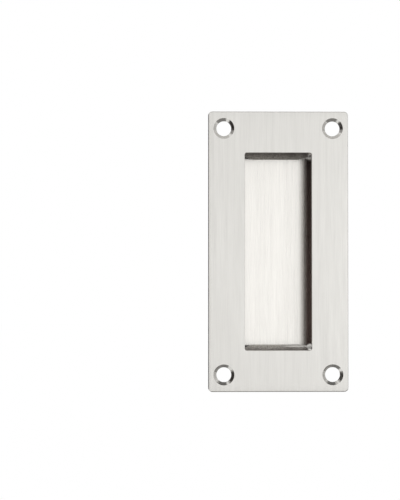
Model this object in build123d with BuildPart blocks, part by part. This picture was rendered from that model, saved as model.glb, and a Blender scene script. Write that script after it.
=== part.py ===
from build123d import *
import math
import os

# Recessed pull handle: a flat face plate with a pressed sheet pan welded behind its aperture.
# Millimetres. X runs across the handle, +Y points into the door and +Z is up.
# The origin is the middle of the face plate's back, the plane that seats on the door.

# Face plate
plate_width = 51.0
plate_height = 102.0
plate_thickness = 1.2
plate_corner_radius = 1.5
plate_edge_radius = 0.35

# Aperture: its edge overhangs the pan all round and is the lip that fingers pull on
aperture_width = 24.4
aperture_height = 72.0
aperture_corner_radius = 0.8
aperture_edge_radius = 0.15

# Four countersunk screw holes, one near each corner
screw_spacing_x = 39.6
screw_spacing_z = 89.6
screw_hole_radius = 2.7
countersink_radius = 3.8
countersink_angle = 90.0

# Recess pan, sizes over the outside of the sheet. Its long edges roll into the floor, and
# its upright corners open out from the floor to the plate, as the press tool leaves them.
pan_sheet = 1.2
pan_width = 30.0
recess_depth = 14.5
pan_floor_length = 70.3
end_slope = 52.0
mouth_corner_radius = 9.0
floor_corner_radius = 2.4
side_bend_radius = 7.2
end_bend_radius = 1.8

# How far the pan stands behind the plate, and its length where it meets the plate
pan_reach = recess_depth - plate_thickness
pan_mouth_length = pan_floor_length + 2 * pan_reach / math.tan(math.radians(end_slope))

# The cavity lies one sheet thickness inside the outside, measured square to each wall
cavity_reach = pan_reach - pan_sheet
cavity_mouth_length = pan_mouth_length - 2 * pan_sheet / math.sin(math.radians(end_slope))

os.makedirs("parts", exist_ok=True)


def tray(width, mouth_length, depth, corner_inset):
    """A solid block of the pan's form, open side on the XZ plane and floor at Y = depth.

    corner_inset is what the sheet takes off the radii of the pan's outside.
    """
    floor_length = mouth_length - 2 * depth / math.tan(math.radians(end_slope))
    mouth = (Plane.XZ, mouth_length, mouth_corner_radius - corner_inset)
    floor = (Plane.XZ.offset(-depth), floor_length, floor_corner_radius - corner_inset)

    # One quarter of the block, from the middle of the floor to the corner at +X and +Z
    with BuildPart() as block:
        with BuildSketch(Plane.YZ):
            Polygon(
                (0, 0),
                (depth, 0),
                (depth, floor_length / 2),
                (0, mouth_length / 2),
                align=None,
            )
        extrude(amount=width / 2)

        # The corner is trimmed by a loft between what each end's arc cuts off
        for plane, length, radius in (mouth, floor):
            with BuildSketch(plane):
                with Locations((width / 2, length / 2)):
                    Rectangle(radius, radius, align=(Align.MAX, Align.MAX))
                with Locations((width / 2 - radius, length / 2 - radius)):
                    Circle(radius, mode=Mode.SUBTRACT)
        loft(ruled=True, mode=Mode.SUBTRACT)

        floor_edges = block.faces().sort_by(Axis.Y)[-1].edges()
        bends = floor_edges.filter_by(lambda edge: edge.center().X * edge.center().Z > 0.01)
        fillet(bends, radius=end_bend_radius - corner_inset)

        # The long edge is rolled over the block's whole length
        with BuildSketch(Plane.XY):
            Rectangle(width / 2, depth, align=(Align.MIN, Align.MIN))
            rolled = vertices().group_by(Axis.Y)[-1].sort_by(Axis.X)[-1]
            fillet(rolled, radius=side_bend_radius - corner_inset)
        extrude(amount=mouth_length / 2, mode=Mode.INTERSECT)

        mirror(about=Plane.YZ)
        mirror(about=Plane.XY)
    return block.part


# Flat plate with its aperture, standing in front of the XZ plane
with BuildPart() as face_plate:
    with BuildSketch(Plane.XZ):
        RectangleRounded(plate_width, plate_height, plate_corner_radius)
        RectangleRounded(
            aperture_width,
            aperture_height,
            aperture_corner_radius,
            mode=Mode.SUBTRACT,
        )
    extrude(amount=plate_thickness)

    front = face_plate.faces().sort_by(Axis.Y)[0]
    fillet(front.outer_wire().edges(), radius=plate_edge_radius)

    front = face_plate.faces().sort_by(Axis.Y)[0]
    fillet(front.inner_wires()[0].edges(), radius=aperture_edge_radius)

    with Locations(Plane.XZ.offset(plate_thickness)):
        with GridLocations(screw_spacing_x, screw_spacing_z, 2, 2):
            CounterSinkHole(
                radius=screw_hole_radius,
                counter_sink_radius=countersink_radius,
                counter_sink_angle=countersink_angle,
            )

face_plate.part.label = "face_plate"


# Pan pressed from one sheet: flat floor, upright sides and sloping ends, open at the plate
with BuildPart() as recess_pan:
    add(tray(pan_width, pan_mouth_length, pan_reach, 0))
    add(
        tray(pan_width - 2 * pan_sheet, cavity_mouth_length, cavity_reach, pan_sheet),
        mode=Mode.SUBTRACT,
    )

recess_pan.part.label = "recess_pan"


export_step(face_plate.part, "parts/face_plate.step")
export_step(recess_pan.part, "parts/recess_pan.step")
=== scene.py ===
import math

import bpy
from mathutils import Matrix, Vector

# A recessed pull handle in brushed steel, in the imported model's frame: the origin is the
# middle of the face plate's back, the front looks along -Y and +Z is up. Lengths are in
# metres, angles in degrees and colours in linear red, green and blue.

MM = 0.001

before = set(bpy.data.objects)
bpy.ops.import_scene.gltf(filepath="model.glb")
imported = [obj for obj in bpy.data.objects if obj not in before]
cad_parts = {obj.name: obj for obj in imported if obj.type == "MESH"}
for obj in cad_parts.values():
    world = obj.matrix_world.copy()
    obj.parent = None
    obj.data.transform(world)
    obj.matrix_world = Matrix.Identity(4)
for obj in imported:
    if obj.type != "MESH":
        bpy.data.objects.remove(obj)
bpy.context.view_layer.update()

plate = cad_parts["face_plate"]
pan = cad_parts["recess_pan"]

# ---------------------------------------------------------------- camera

# Where the camera stands, seen from the origin, and where it points
CAMERA_DISTANCE = 468.97 * MM
CAMERA_AZIMUTH = -4.51
CAMERA_ELEVATION = -0.88
CAMERA_HEADING = -1.03
CAMERA_PITCH = -0.95
CAMERA_LENS = 92.45
CAMERA_SENSOR = 36.0
CAMERA_CLIP = (0.01, 20.0)


def around(azimuth, elevation, distance):
    """A place at that distance: azimuth 0 is in front, 90 at the handle's right."""
    azimuth, elevation = math.radians(azimuth), math.radians(elevation)
    level = math.cos(elevation)
    return distance * Vector(
        (math.sin(azimuth) * level, -math.cos(azimuth) * level, math.sin(elevation))
    )


def add_camera():
    """The camera, a little to the left of the handle's middle and pointing past it."""
    data = bpy.data.cameras.new("camera")
    data.sensor_width = CAMERA_SENSOR
    data.lens = CAMERA_LENS
    data.clip_start, data.clip_end = CAMERA_CLIP
    camera = bpy.data.objects.new("camera", data)
    bpy.context.scene.collection.objects.link(camera)
    camera.location = around(CAMERA_AZIMUTH, CAMERA_ELEVATION, CAMERA_DISTANCE)
    tilt = math.pi / 2 - math.radians(CAMERA_PITCH)
    camera.rotation_euler = (tilt, 0.0, math.radians(CAMERA_HEADING))
    bpy.context.scene.camera = camera


# ---------------------------------------------------------------- nodes


class Nodes:
    """A short way to add nodes to a node tree and link them."""

    def __init__(self, tree):
        self.tree = tree
        tree.nodes.clear()

    def add(self, kind, **settings):
        """A new node with those settings."""
        node = self.tree.nodes.new(kind)
        for name, value in settings.items():
            setattr(node, name, value)
        return node

    def link(self, source, target):
        self.tree.links.new(source, target)

    def put(self, sockets, values):
        """Links each output to its socket, or sets the socket to a plain value."""
        for socket, value in zip(sockets, values):
            if isinstance(value, bpy.types.NodeSocket):
                self.link(value, socket)
            else:
                socket.default_value = value

    def math(self, operation, first, second=0.0):
        node = self.add("ShaderNodeMath", operation=operation)
        self.put(node.inputs, (first, second))
        return node.outputs[0]

    def vector_math(self, operation, first, second=(0.0, 0.0, 0.0)):
        node = self.add("ShaderNodeVectorMath", operation=operation)
        self.put(node.inputs, (first, second))
        return node.outputs["Vector"]

    def scaled(self, vector, factor):
        node = self.add("ShaderNodeVectorMath", operation="SCALE")
        self.put((node.inputs[0], node.inputs["Scale"]), (vector, factor))
        return node.outputs["Vector"]

    def product(self, first, *others):
        for other in others:
            first = self.math("MULTIPLY", first, other)
        return first

    def unsigned(self, value):
        """The value without its sign."""
        return self.math("ABSOLUTE", value)

    def rest_of(self, share):
        """What a share between 0 and 1 leaves over."""
        return self.math("SUBTRACT", 1.0, share)

    def mix(self, data_type, share, first, second):
        """The first value at share 0, the second at share 1."""
        node = self.add("ShaderNodeMix", data_type=data_type)
        sockets = [node.inputs[name] for name in ("Factor", "A", "B")]
        self.put(sockets, (share, first, second))
        return node.outputs["Result"]

    def mix_colour(self, share, first, second):
        return self.mix("RGBA", share, first, second)

    def mix_shader(self, share, first, second):
        node = self.add("ShaderNodeMixShader")
        self.put(node.inputs, (share, first, second))
        return node.outputs["Shader"]

    def ramp(self, value, span, low, high):
        """low up to the span's start, high from its end, and straight in between."""
        node = self.add("ShaderNodeMapRange", clamp=True)
        names = ("Value", "From Min", "From Max", "To Min", "To Max")
        self.put([node.inputs[name] for name in names], (value, *span, low, high))
        return node.outputs["Result"]

    def rise(self, value, span):
        """0 up to the span's start, and 1 from its end."""
        return self.ramp(value, span, 0.0, 1.0)

    def fall(self, value, span):
        """1 up to the span's start, and 0 from its end."""
        return self.ramp(value, span, 1.0, 0.0)

    def axes(self, vector):
        """The X, Y and Z of a vector."""
        node = self.add("ShaderNodeSeparateXYZ")
        self.link(vector, node.inputs["Vector"])
        return node.outputs

    def place(self):
        """X, Y and Z of the point that is shaded."""
        return self.axes(self.add("ShaderNodeTexCoord").outputs["Object"])

    def normal(self):
        """X, Y and Z of the surface's normal."""
        return self.axes(self.add("ShaderNodeTexCoord").outputs["Normal"])

    def facing_front(self):
        """1 where the surface faces the front, 0 where it is square to it, -1 at the back."""
        return self.math("MULTIPLY", self.normal()["Y"], -1.0)


def new_material(name):
    """A material without nodes, and a way to add them."""
    material = bpy.data.materials.new(name)
    material.use_nodes = True
    return material, Nodes(material.node_tree)


def use_surface(nodes, shader):
    """Makes the shader the material's surface."""
    output = nodes.add("ShaderNodeOutputMaterial")
    nodes.link(shader, output.inputs["Surface"])


def rgba(colour, tone=1.0):
    """The colour at that tone, with its alpha of 1."""
    return tuple(min(1.0, part * tone) for part in colour) + (1.0,)


# ---------------------------------------------------------------- brushed steel

UP = (0.0, 0.0, 1.0)
INWARDS = (0.0, 1.0, 0.0)

# The streaks of the grain, along Z: their width and length, and how finely they break up
FINE_STREAK = (0.16 * MM, 9.0 * MM)
FINE_DETAIL = 2.0
BROAD_STREAK = (1.3 * MM, 45.0 * MM)
BROAD_DETAIL = 3.0
BROAD_SHARE = 0.4

# A seed moves the noise this way, and the broad streaks' seed is this much larger
SEED_AXES = (1.0, 0.7, 0.3)
BROAD_SEED = 11.0

# The part of the noise's range that is used, and how it scales the colour and the roughness
GRAIN_SPAN = (0.3, 0.7)
GRAIN_TONE = (0.95, 1.04)
GRAIN_ROUGHNESS = (1.12, 0.9)

# How strongly the fine streaks scratch the surface, and how deep
SCRATCH_STRENGTH = 0.25
SCRATCH_DEPTH = 0.004 * MM

# Turned and rolled edges face the front or the back by less than this
FLAT_FACING = 0.95


def streaks(nodes, streak, detail, seed):
    """Noise drawn out along Z, in streaks of that width and length."""
    width, length = streak
    mapping = nodes.add("ShaderNodeMapping")
    mapping.inputs["Location"].default_value = [seed * axis for axis in SEED_AXES]
    mapping.inputs["Scale"].default_value = (1 / width, 1 / width, 1 / length)
    nodes.link(nodes.add("ShaderNodeTexCoord").outputs["Object"], mapping.inputs["Vector"])
    noise = nodes.add("ShaderNodeTexNoise", noise_dimensions="3D")
    noise.inputs["Scale"].default_value = 1.0
    noise.inputs["Detail"].default_value = detail
    nodes.link(mapping.outputs["Vector"], noise.inputs["Vector"])
    return noise.outputs["Fac"]


def turned_edge(nodes):
    """1 on turned and rolled edges, 0 on the flat front and back."""
    return nodes.math("LESS_THAN", nodes.unsigned(nodes.facing_front()), FLAT_FACING)


def grain_direction(nodes):
    """The way in which reflections spread, which is square to the grain.

    The grain runs along Z, so they spread level. On turned and rolled edges it runs round
    the edge, so they spread down the slope.
    """
    normal = nodes.add("ShaderNodeNewGeometry").outputs["Normal"]
    level = nodes.vector_math("CROSS_PRODUCT", normal, UP)
    round_edge = nodes.vector_math("CROSS_PRODUCT", normal, INWARDS)
    down_slope = nodes.vector_math("CROSS_PRODUCT", normal, round_edge)
    return nodes.mix("VECTOR", turned_edge(nodes), level, down_slope)


def scratched(nodes, height, lean):
    """The normal, scratched by the height and leant over by what lean adds to it."""
    bump = nodes.add("ShaderNodeBump")
    bump.inputs["Strength"].default_value = SCRATCH_STRENGTH
    bump.inputs["Distance"].default_value = SCRATCH_DEPTH
    nodes.link(height, bump.inputs["Height"])
    leant = nodes.vector_math("ADD", bump.outputs["Normal"], lean)
    return nodes.vector_math("NORMALIZE", leant)


def steel(name, seed, anisotropy, paint, roughness, lean):
    """Satin stainless steel, brushed along Z with fine scratches.

    paint, roughness and lean are functions of the nodes. They return the finish's colour,
    its roughness and what it adds to the normal.
    """
    material, nodes = new_material(name)
    fine = streaks(nodes, FINE_STREAK, FINE_DETAIL, seed)
    broad = streaks(nodes, BROAD_STREAK, BROAD_DETAIL, seed + BROAD_SEED)
    grain = nodes.mix("FLOAT", BROAD_SHARE, fine, broad)
    tone = nodes.ramp(grain, GRAIN_SPAN, *GRAIN_TONE)
    uneven = nodes.ramp(grain, GRAIN_SPAN, *GRAIN_ROUGHNESS)

    shader = nodes.add("ShaderNodeBsdfPrincipled")
    shader.inputs["Metallic"].default_value = 1.0
    shader.inputs["Anisotropic"].default_value = anisotropy
    nodes.link(nodes.scaled(paint(nodes), tone), shader.inputs["Base Color"])
    nodes.link(nodes.product(roughness(nodes), uneven), shader.inputs["Roughness"])
    nodes.link(scratched(nodes, fine, lean(nodes)), shader.inputs["Normal"])
    nodes.link(grain_direction(nodes), shader.inputs["Tangent"])
    use_surface(nodes, shader.outputs["BSDF"])
    return material


# ---------------------------------------------------------------- face plate

PLATE_SEED = 3.0
PLATE_ANISOTROPY = 0.7
PLATE_FRONT = (0.785, 0.772, 0.738)
# The back's colour is painted shade, far darker than the steel's own
PLATE_BACK_SHADE = (0.13, 0.125, 0.12)
PLATE_ROUGHNESS = 0.34
TURNED_ROUGHNESS = 0.2
CUT_ROUGHNESS = 0.7
PLATE_HALF_WIDTH = plate.dimensions.x / 2
PLATE_HALF_HEIGHT = plate.dimensions.z / 2

# The painted shade on the back starts just in front of its plane
BACK_START = -0.05 * MM

# Cut edges stand square to the front, and are less dull the more they face it
CUT_FACING = (0.05, 0.4)

# The rings that a tool leaves in turned edges: how far apart, and how dark
RING_PITCH = 0.36 * MM
RING_TONE = 0.8
SINE_SPAN = (-1.0, 1.0)

# The screw holes are farther aside than this. The two lower ones get a painted shade at the
# bottom, where the normal's Z is high, but not to the right of it, where the normal's X is
# low.
HOLES_ASIDE = 15.0 * MM
SHADE_UPWARDS = (0.5, 0.62)
SHADE_SIDEWAYS = (-0.27, -0.15)
HOLE_SHADE_TONE = 0.25

# The front leans outwards over the rim's width, and turned edges lean towards the front
RIM_WIDTH = 3.2 * MM
RIM_LEAN = 0.09
EDGE_LEAN = -0.22


def rings(nodes):
    """1 in the rings that a tool leaves in turned edges, 0 between them and elsewhere."""
    turns = nodes.product(nodes.place()["Y"], 2 * math.pi / RING_PITCH)
    return nodes.product(turned_edge(nodes), nodes.rise(nodes.math("SINE", turns), SINE_SPAN))


def lower_hole_shade(nodes):
    """1 where shade is painted at the bottom of the two lower countersinks."""
    place, normal = nodes.place(), nodes.normal()
    aside = nodes.math("GREATER_THAN", nodes.unsigned(place["X"]), HOLES_ASIDE)
    lower = nodes.math("LESS_THAN", place["Z"], 0.0)
    upwards = nodes.rise(normal["Z"], SHADE_UPWARDS)
    sideways = nodes.rise(normal["X"], SHADE_SIDEWAYS)
    return nodes.product(aside, lower, upwards, sideways)


def plate_paint(nodes):
    """Brushed front with fine rings in its turned edges, and a painted shade behind."""
    paint = nodes.mix_colour(rings(nodes), rgba(PLATE_FRONT), rgba(PLATE_FRONT, RING_TONE))
    # Painted shade at the bottom of the two lower countersinks
    paint = nodes.mix_colour(lower_hole_shade(nodes), paint, rgba(PLATE_FRONT, HOLE_SHADE_TONE))
    behind = nodes.math("GREATER_THAN", nodes.place()["Y"], BACK_START)
    return nodes.mix_colour(behind, paint, rgba(PLATE_BACK_SHADE))


def plate_roughness(nodes):
    """Brushed on the flat, smoother where a tool has turned it, dull on the cut edges."""
    turned = nodes.mix("FLOAT", turned_edge(nodes), PLATE_ROUGHNESS, TURNED_ROUGHNESS)
    facing = nodes.unsigned(nodes.facing_front())
    cut = nodes.ramp(facing, CUT_FACING, CUT_ROUGHNESS, 0.0)
    return nodes.math("MAXIMUM", turned, cut)


def rim_lean(nodes, across, half_size):
    """How far the front leans outwards near the rim, across the plate along one axis."""
    near = nodes.rise(nodes.unsigned(across), (half_size - RIM_WIDTH, half_size))
    return nodes.product(near, near, RIM_LEAN, nodes.math("SIGN", across))


def plate_lean(nodes):
    """The front drawn down a little at its rim, and the worn lips of turned edges."""
    place = nodes.place()
    turned = turned_edge(nodes)
    flat = nodes.rest_of(turned)
    lean = nodes.add("ShaderNodeCombineXYZ")
    for axis, half_size in (("X", PLATE_HALF_WIDTH), ("Z", PLATE_HALF_HEIGHT)):
        outwards = rim_lean(nodes, place[axis], half_size)
        nodes.link(nodes.product(outwards, flat), lean.inputs[axis])
    nodes.link(nodes.product(turned, EDGE_LEAN), lean.inputs["Y"])
    return lean.outputs["Vector"]


def plate_steel():
    """The face plate's material."""
    return steel(
        "plate_brushed", PLATE_SEED, PLATE_ANISOTROPY, plate_paint, plate_roughness, plate_lean
    )


# ---------------------------------------------------------------- recess pan

PAN_SEED = 8.0
PAN_ANISOTROPY = 0.6
PAN_FLOOR = (0.85, 0.83, 0.79)
# The colours of the ends, bends, left corners, side walls and outside are painted shade
PAN_END_SHADE = (0.42, 0.40, 0.385)
PAN_BEND_SHADE = (0.17, 0.135, 0.129)
PAN_CORNER_SHADE = (0.15, 0.143, 0.137)
PAN_WALL_SHADE = (0.68, 0.6, 0.55)
PAN_OUTSIDE_SHADE = (0.28, 0.26, 0.252)
PAN_ROUGHNESS = 0.26
OUTSIDE_ROUGHNESS = 0.6

# The sheet's thickness, and the pan inside: half its width, its depth behind the plate's
# back, and where its flat floor ends, from its middle
SHEET = 1.2 * MM
INSIDE_HALF_WIDTH = pan.dimensions.x / 2 - SHEET
INSIDE_DEPTH = pan.dimensions.y - SHEET
FLOOR_END = 34.6 * MM
FLOOR_FADE = (FLOOR_END - 0.1 * MM, FLOOR_END + 0.2 * MM)

# Faces past the middle of a side wall's sheet, or facing the back, are outside
WALL_MIDDLE = INSIDE_HALF_WIDTH + SHEET / 2
BACK_FACING = -0.01

# Painted shade and highlights on the sloping ends: where steep, where near the floor, and
# corners
END_STEEP = (0.15, 0.75)
END_DEPTH = (INSIDE_DEPTH - 2.5 * MM, INSIDE_DEPTH - 0.1 * MM)
END_CORNER = (0.15, 0.35)

# Painted shade in the bends along the floor, by the normal's X: the right one's and the left
# one's
RIGHT_BEND = (-0.66, -0.46)
LEFT_BEND = (0.7, 0.85)

# Painted shade on the left bend past the floor, by the normal's X, where the end isn't steep
LEFT_END = (0.05, 0.2)
LEFT_END_STEEP = (0.5, 0.7)

# Painted shade on the flat side walls, by the normal's X
SIDE_WALL = (0.85, 1.0)

# The painted shade on the bends and side walls gets darker up the pan
DARKER_UP = (-20.0 * MM, FLOOR_END)
BEND_UPPER_TONE = 0.6
WALL_UPPER_TONE = 0.7

# How the left bend leans towards the front, and over which part of the normal's X
LEFT_LEAN = -1.4
LEFT_LEAN_START = (0.0, 0.25)
LEFT_LEAN_STOP = (0.7, 0.9)

# The painted highlight spot low in each right corner: its middle, where it fades and how it
# leans
SPOT_ASIDE = INSIDE_HALF_WIDTH - 1.1 * MM
SPOT_ALONG = FLOOR_END + 0.6 * MM
SPOT_FADE = (0.6 * MM, 1.4 * MM)
SPOT_LEAN = -4.0

# The light line where an end leaves the floor, from the middle to the right
LINE_START = (FLOOR_END + 0.2 * MM, FLOOR_END + 0.45 * MM)
LINE_STOP = (FLOOR_END + 0.6 * MM, FLOOR_END + 1.0 * MM)
LINE_ACROSS = (1.0 * MM, 11.0 * MM)
LINE_LEAN = -1.6

# The upper end's share of the spot's and the line's lean
UPPER_SPAN = (-1.0 * MM, 1.0 * MM)
UPPER_SHARE = 0.35


def outside_pan(nodes):
    """1 on the pan's outer faces, 0 inside it."""
    beyond = nodes.math("GREATER_THAN", nodes.unsigned(nodes.place()["X"]), WALL_MIDDLE)
    behind = nodes.math("LESS_THAN", nodes.facing_front(), BACK_FACING)
    return nodes.math("MAXIMUM", beyond, behind)


def past_floor(nodes):
    """1 beyond the two ends of the pan's floor, 0 over its length."""
    return nodes.rise(nodes.unsigned(nodes.place()["Z"]), FLOOR_FADE)


def right_highlight_spots(nodes):
    """1 at the painted highlight low in the pan's two right corners, and 0 a little way off.
    """
    place = nodes.place()
    aside = nodes.math("SUBTRACT", place["X"], SPOT_ASIDE)
    along = nodes.math("SUBTRACT", nodes.unsigned(place["Z"]), SPOT_ALONG)
    squares = nodes.math("ADD", nodes.product(aside, aside), nodes.product(along, along))
    return nodes.fall(nodes.math("SQRT", squares), SPOT_FADE)


def darker_up(nodes, colour, upper_tone):
    """The colour, with painted shade that gets darker up the pan."""
    upper = nodes.rise(nodes.place()["Z"], DARKER_UP)
    return nodes.mix_colour(upper, rgba(colour), rgba(colour, upper_tone))


def paint_end_shade_and_highlight(nodes, paint):
    """Painted shade on sloping ends away from the floor, painted highlight in their corners.
    """
    normal = nodes.normal()
    sideways = nodes.unsigned(normal["X"])
    lengthways = nodes.unsigned(normal["Z"])
    steep = nodes.rise(lengthways, END_STEEP)
    shallow = nodes.fall(nodes.place()["Y"], END_DEPTH)
    # Painted shade on the ends, away from the floor
    paint = nodes.mix_colour(nodes.product(steep, shallow), paint, rgba(PAN_END_SHADE))
    corner = nodes.rise(nodes.math("MINIMUM", sideways, lengthways), END_CORNER)
    # Painted highlight: the ends' corners get the floor's bright colour
    return nodes.mix_colour(corner, paint, rgba(PAN_FLOOR))


def paint_bend_shade(nodes, paint):
    """Painted shade in the bends along the floor."""
    sideways = nodes.normal()["X"]
    right = nodes.fall(sideways, RIGHT_BEND)
    left = nodes.rise(sideways, LEFT_BEND)
    within = nodes.rest_of(past_floor(nodes))
    bend = nodes.product(nodes.math("MAXIMUM", right, left), within)
    return nodes.mix_colour(bend, paint, darker_up(nodes, PAN_BEND_SHADE, BEND_UPPER_TONE))


def paint_left_end_shade(nodes, paint):
    """Painted shade on the stretch of the left bend past each end of the floor."""
    normal = nodes.normal()
    left = nodes.rise(normal["X"], LEFT_END)
    level = nodes.fall(nodes.unsigned(normal["Z"]), LEFT_END_STEEP)
    left_end = nodes.product(past_floor(nodes), left, level)
    return nodes.mix_colour(left_end, paint, rgba(PAN_CORNER_SHADE))


def paint_wall_shade(nodes, paint):
    """Painted shade on the flat side walls."""
    wall = nodes.rise(nodes.unsigned(nodes.normal()["X"]), SIDE_WALL)
    return nodes.mix_colour(wall, paint, darker_up(nodes, PAN_WALL_SHADE, WALL_UPPER_TONE))


def pan_paint(nodes):
    """Bright floor; painted shade on the ends towards the plate, long bends, walls and
    outside.
    """
    paint = rgba(PAN_FLOOR)
    for paint_part in (paint_end_shade_and_highlight, paint_bend_shade, paint_left_end_shade, paint_wall_shade):
        paint = paint_part(nodes, paint)
    # Painted highlight: a spot of the floor's bright colour low in each right corner
    paint = nodes.mix_colour(right_highlight_spots(nodes), paint, rgba(PAN_FLOOR))
    # Painted shade on the pan's outer faces
    return nodes.mix_colour(outside_pan(nodes), paint, rgba(PAN_OUTSIDE_SHADE))


def pan_roughness(nodes):
    """Satin inside, and duller outside."""
    return nodes.mix("FLOAT", outside_pan(nodes), PAN_ROUGHNESS, OUTSIDE_ROUGHNESS)


def left_bend_lean(nodes):
    """How far the left bend leans towards the front."""
    sideways = nodes.normal()["X"]
    start = nodes.rise(sideways, LEFT_LEAN_START)
    stop = nodes.fall(sideways, LEFT_LEAN_STOP)
    return nodes.product(start, stop, LEFT_LEAN)


def end_lean(nodes):
    """How far the ends' lines and the right corners' spots lean towards the front."""
    place = nodes.place()
    along = nodes.unsigned(place["Z"])
    start = nodes.rise(along, LINE_START)
    stop = nodes.fall(along, LINE_STOP)
    to_right = nodes.ramp(place["X"], LINE_ACROSS, 0.0, LINE_LEAN)
    line = nodes.product(start, stop, to_right)
    spot = nodes.product(right_highlight_spots(nodes), SPOT_LEAN)
    share = nodes.ramp(place["Z"], UPPER_SPAN, 1.0, UPPER_SHARE)
    return nodes.product(nodes.math("ADD", spot, line), share)


def pan_lean(nodes):
    """The left bend, and the light spots and lines of the ends, leant towards the front."""
    towards_front = nodes.math("ADD", left_bend_lean(nodes), end_lean(nodes))
    inside = nodes.rest_of(outside_pan(nodes))
    lean = nodes.add("ShaderNodeCombineXYZ")
    nodes.link(nodes.product(towards_front, inside), lean.inputs["Y"])
    return lean.outputs["Vector"]


def pan_steel():
    """The recess pan's material."""
    return steel("pan_brushed", PAN_SEED, PAN_ANISOTROPY, pan_paint, pan_roughness, pan_lean)


def dress(node, material):
    """Gives a CAD node's slots the material."""
    for slot in node.material_slots:
        slot.material = material


# ---------------------------------------------------------------- studio

WHITE = (1.0, 1.0, 1.0)

# The floor is well below the handle. To the camera, this much of its look is plain white,
# and its shadow is in the rest.
FLOOR_SIZE = 6.0
FLOOR_PLACE = (0.0, 0.0, -0.16)
CAMERA_WHITE = 0.6

# Flags round the handle: name, width, height, place, facing, colour
FLAGS = (
    ("flag_left", 0.29, 0.21, (-0.165, 0.005, -0.01), (1, 0, 0), (0.03, 0.026, 0.025)),
    ("flag_left_soft", 0.29, 0.345, (-0.17, 0.005, 0.0175), (1, 0, 0), (0.38, 0.37, 0.365)),
    ("flag_front_left", 0.10, 0.30, (-0.165, -0.19, 0.0), (1, 0, 0), (0.36, 0.345, 0.335)),
    ("flag_front", 0.20, 0.40, (-0.165, -0.34, 0.0), (1, 0, 0), (0.70, 0.69, 0.685)),
    ("flag_right", 0.31, 0.31, (0.30, 0.045, 0.0), (-1, 0, 0), (0.44, 0.43, 0.425)),
    ("flag_above", 0.34, 0.28, (0.09, -0.02, 0.15), (0, 0, -1), (0.66, 0.65, 0.64)),
    ("flag_below", 0.33, 0.30, (0.097, -0.03, -0.15), (0, 0, 1), (0.25, 0.243, 0.237)),
)

# Soft box in front of the handle, to the right
KEY_AZIMUTH = 14.0
KEY_ELEVATION = 0.0
KEY_DISTANCE = 1.3
KEY_WIDTH = 0.9
KEY_HEIGHT = 0.3
KEY_BRIGHTNESS = 0.2


def add_plane(name, width, height, place, facing, material):
    """A flat rectangle centred at place, with its normal along facing."""
    mesh = bpy.data.meshes.new(name)
    x, y = width / 2, height / 2
    mesh.from_pydata([(-x, -y, 0), (x, -y, 0), (x, y, 0), (-x, y, 0)], [], [(0, 1, 2, 3)])
    mesh.materials.append(material)
    plane = bpy.data.objects.new(name, mesh)
    bpy.context.scene.collection.objects.link(plane)
    plane.location = place
    plane.rotation_euler = Vector(facing).to_track_quat("Z", "Y").to_euler()
    return plane


def matt_shader(nodes, colour):
    shader = nodes.add("ShaderNodeBsdfDiffuse")
    shader.inputs["Color"].default_value = rgba(colour)
    return shader.outputs["BSDF"]


def matt(name, colour):
    """A matt material of one colour."""
    material, nodes = new_material(name)
    use_surface(nodes, matt_shader(nodes, colour))
    return material


def white_backdrop(name):
    """White in reflections, and nearly white to the camera, with a faint shadow left in it.

    Its back is clear, so that the handle shows from below the floor.
    """
    material, nodes = new_material(name)
    path = nodes.add("ShaderNodeLightPath").outputs
    white = nodes.product(path["Is Camera Ray"], CAMERA_WHITE)
    for ray in ("Is Glossy Ray", "Is Transmission Ray"):
        white = nodes.math("MAXIMUM", white, path[ray])
    glow = nodes.add("ShaderNodeEmission").outputs["Emission"]
    above = nodes.mix_shader(white, matt_shader(nodes, WHITE), glow)
    clear = nodes.add("ShaderNodeBsdfTransparent").outputs["BSDF"]
    backfacing = nodes.add("ShaderNodeNewGeometry").outputs["Backfacing"]
    use_surface(nodes, nodes.mix_shader(backfacing, above, clear))
    return material


def add_world():
    """Soft white surroundings."""
    world = bpy.data.worlds.new("studio")
    bpy.context.scene.world = world
    world.use_nodes = True
    nodes = Nodes(world.node_tree)
    background = nodes.add("ShaderNodeBackground")
    background.inputs["Color"].default_value = rgba(WHITE)
    background.inputs["Strength"].default_value = 1.0
    output = nodes.add("ShaderNodeOutputWorld")
    nodes.link(background.outputs["Background"], output.inputs["Surface"])


def add_floor():
    """A pale floor below the handle."""
    material = white_backdrop("floor_white")
    floor = add_plane("floor", FLOOR_SIZE, FLOOR_SIZE, FLOOR_PLACE, UP, material)


def add_flags():
    """Grey cards round the handle, which only reflections show."""
    for name, width, height, place, facing, colour in FLAGS:
        flag = add_plane(name, width, height, place, facing, matt(name, colour))
        flag.visible_camera = False
        flag.visible_diffuse = False
        flag.visible_shadow = False


def add_key():
    """The soft box, turned to the origin."""
    data = bpy.data.lights.new("key", "AREA")
    data.shape = "RECTANGLE"
    data.size = KEY_WIDTH
    data.size_y = KEY_HEIGHT
    data.energy = KEY_BRIGHTNESS * math.pi * KEY_WIDTH * KEY_HEIGHT
    key = bpy.data.objects.new("key", data)
    key.location = around(KEY_AZIMUTH, KEY_ELEVATION, KEY_DISTANCE)
    key.rotation_euler = key.location.to_track_quat("Z", "Y").to_euler()
    bpy.context.scene.collection.objects.link(key)


# ---------------------------------------------------------------- the scene

add_camera()
bpy.context.scene.view_settings.view_transform = "Standard"
dress(plate, plate_steel())
dress(pan, pan_steel())
add_world()
add_floor()
add_flags()
add_key()
